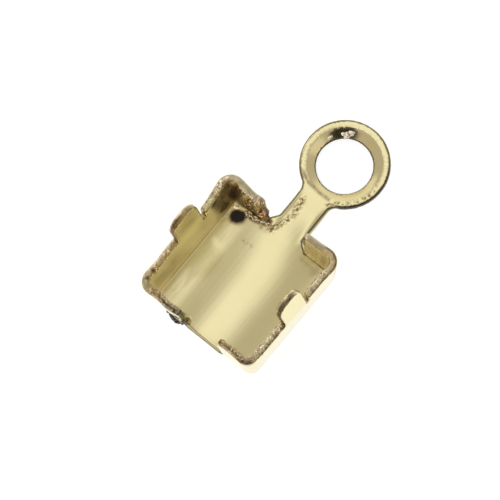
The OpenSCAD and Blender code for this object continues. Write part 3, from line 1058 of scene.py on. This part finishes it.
beaded, tree, shader = new_material("plating_beads", Metallic=1, Roughness=BEAD_ROUGHNESS)
place = add(tree, "ShaderNodeTexCoord")
tint = add(tree, "ShaderNodeTexNoise", [("Vector", place, "Object")], in_Scale=1 / (BEAD_TINT_MM * MM))
bright = add(tree, "ShaderNodeMix", [("Factor", tint, "Fac")], data_type="RGBA",
             in_A=linear(BEAD_PALE), in_B=linear(BEAD_WARM))
shade = add(tree, "ShaderNodeAttribute", attribute_name="shade")
coppery = add(tree, "ShaderNodeMapRange", [("Value", shade, "Fac")], in_From_Max=0.5)
# Shade over 0.5 darkens to the burnt colour, which on beads in pits and corners is painted shade
burnt_and_shade = add(tree, "ShaderNodeMapRange", [("Value", shade, "Fac")], in_From_Min=0.5)
warm = add(tree, "ShaderNodeMix", [("Factor", coppery, "Result"), ("A", bright, "Result")], data_type="RGBA",
           in_B=linear(BEAD_COPPERY))
colour = add(tree, "ShaderNodeMix", [("Factor", burnt_and_shade, "Result"), ("A", warm, "Result")], data_type="RGBA",
             in_B=linear(BEAD_BURNT_AND_SHADE))
tree.links.new(shader.inputs["Base Color"], colour.outputs["Result"])

maker = seeds.modifiers.new("grains", "NODES")
maker.node_group = grain_nodes()
sockets = {item.name: item.identifier
           for item in maker.node_group.interface.items_tree if item.in_out == "INPUT"}
maker[sockets["Grain radius"]] = GRAIN_R * MM
maker[sockets["Scatter"]] = GRAIN_SCATTER * MM
maker[sockets["Material"]] = beaded
evaluated = seeds.evaluated_get(bpy.context.evaluated_depsgraph_get())
grains = bpy.data.objects.new("burr_grains", bpy.data.meshes.new_from_object(evaluated))
bpy.context.scene.collection.objects.link(grains)
bpy.data.objects.remove(seeds)
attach(grains, "root")

# The table and the light
# A white table under a white tent. The tent is open low down at the near side, where the
# dark room shows in everything that faces that way.
TABLE_W = 400.0
TABLE_GREY = (0.35, 0.35, 0.35, 1)
TABLE_ROUGHNESS = 0.8
TABLE_GLOW = (0.97, 0.98, 1, 1)
TABLE_GLOW_POWER = 0.86
table_corners = np.array([(-1, -1, 0), (1, -1, 0), (1, 1, 0), (-1, 1, 0)]) * TABLE_W / 2
table = mesh_piece("table", table_corners, np.array([(0, 1, 2, 3)]))
white, _, _ = new_material(
    "white_table", Base_Color=TABLE_GREY, Roughness=TABLE_ROUGHNESS, Specular_IOR_Level=0,
    Emission_Color=TABLE_GLOW, Emission_Strength=TABLE_GLOW_POWER)
table.data.materials.append(white)

world = bpy.data.worlds.new("tent")
bpy.context.scene.world = world
world.use_nodes = True
tree = world.node_tree
tree.nodes.clear()
direction = add(tree, "ShaderNodeTexCoord")


def patch(behind, colour, aim, half_w, half_h, soft, turn, power):
    """An oval patch over what is behind it: sizes and turn in degrees, soft edge as a share of them."""
    facing = Vector(aim).to_track_quat("Z", "Y").to_matrix() @ Matrix.Rotation(math.radians(turn), 3, "Z")
    local = add(tree, "ShaderNodeMapping", [("Vector", direction, "Generated")], vector_type="TEXTURE",
                in_Rotation=facing.to_euler(),
                in_Scale=(math.tan(math.radians(half_w)), math.tan(math.radians(half_h)), 1))
    unit = add(tree, "ShaderNodeVectorMath", [(0, local, "Vector")], operation="NORMALIZE")
    height = add(tree, "ShaderNodeSeparateXYZ", [("Vector", unit, "Vector")])
    mask = add(tree, "ShaderNodeMapRange", [("Value", height, "Z")], interpolation_type="SMOOTHSTEP",
               in_From_Min=math.hypot(1, 1 + soft) ** -1, in_From_Max=math.hypot(1, 1 - soft) ** -1)
    light = [part * power for part in linear(colour)]
    mix = add(tree, "ShaderNodeMix", [("Factor", mask, "Result")], data_type="RGBA", in_B=light)
    if isinstance(behind, str):
        mix.inputs["A"].default_value = linear(behind)
    else:
        tree.links.new(mix.inputs["A"], behind.outputs["Result"])
    return mix


# The tent from back to front: colour, direction, half width, half height, soft edge, turn
# and power. In the part's frame, picture up is (0.78, 0.62, 0). The rows are the far wall,
# the dome, the wall's bright middle, the dark gap at the near right, a pale panel at the
# right, the cloth overhead, its near part, the long bright panel, the camera, the dark room
# at the near side, and two lamps.
TENT_BACK = "A39A90"
TENT = [
    ("F2F0E8", (0.78, 0.62, 0.25), 60, 40, 0.5, 0, 1),
    ("BEB5AE", (0, 0, 1), 80, 80, 0.1, 0, 1),
    ("EDE8DC", (0.78, 0.62, 0.35), 40, 26, 0.5, 0, 1),
    ("3A332B", (-0.3, -0.95, 0.13), 48, 15, 0.35, 0, 1),
    ("DFD8CE", (0.25, -0.82, 0.5), 18, 12, 0.4, 0, 1),
    ("B8B3A8", (0.1, 0.14, 1), 46, 46, 0.35, 0, 1),
    ("D2D0CA", (0.15, -0.27, 0.95), 16, 10, 0.6, 0, 1),
    ("FFFEFC", (0.12, 0.21, 0.97), 38, 7.5, 0.9, 34, 1),
    ("6E6358", (-0.18, -0.18, 0.967), 8, 8, 0.5, 0, 1),
    ("2A2521", (-0.65, -0.53, 0.54), 29, 12, 0.3, 0, 1),
    ("FFF8EE", (0.07, 0.72, 0.69), 11, 11, 0.3, 0, 3),
    ("FFF8EE", (-0.5, -0.2, 0.84), 9, 9, 0.3, 0, 5),
]
tent = TENT_BACK
for row in TENT:
    tent = patch(tent, *row)
shade = add(tree, "ShaderNodeBackground", [("Color", tent, "Result")])
add(tree, "ShaderNodeOutputWorld", [("Surface", shade, "Background")])

bpy.context.scene.view_settings.view_transform = "Standard"
